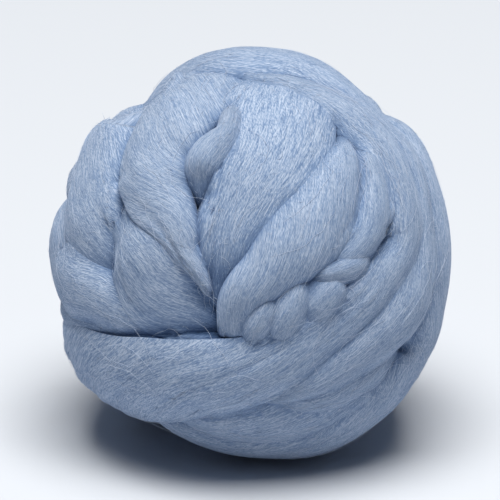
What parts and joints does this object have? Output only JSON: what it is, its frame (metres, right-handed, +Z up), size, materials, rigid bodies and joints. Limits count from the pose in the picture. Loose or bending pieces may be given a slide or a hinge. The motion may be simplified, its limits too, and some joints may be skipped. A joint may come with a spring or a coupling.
{
  "type": "wool roving ball",
  "caption": "Loosely wound ball of pale blue combed wool roving: thick soft windings cross and fan into a hollow on the front, where a small twisted end is tucked in. Rests on a flat spot.",
  "frame": {"origin": "middle of the flat spot that the ball rests on", "axes": "+Z up, -Y towards the viewer, +X to the viewer's right; the front face, in which the end is tucked, looks along -Y and 20 degrees upwards"},
  "size_m": [0.1486, 0.1561, 0.15],
  "materials": {
    "wool": "matt, loose combed fibre"
  },
  "bodies": {
    "root": {"roving_ball": "wool"}
  },
  "joints": []
}
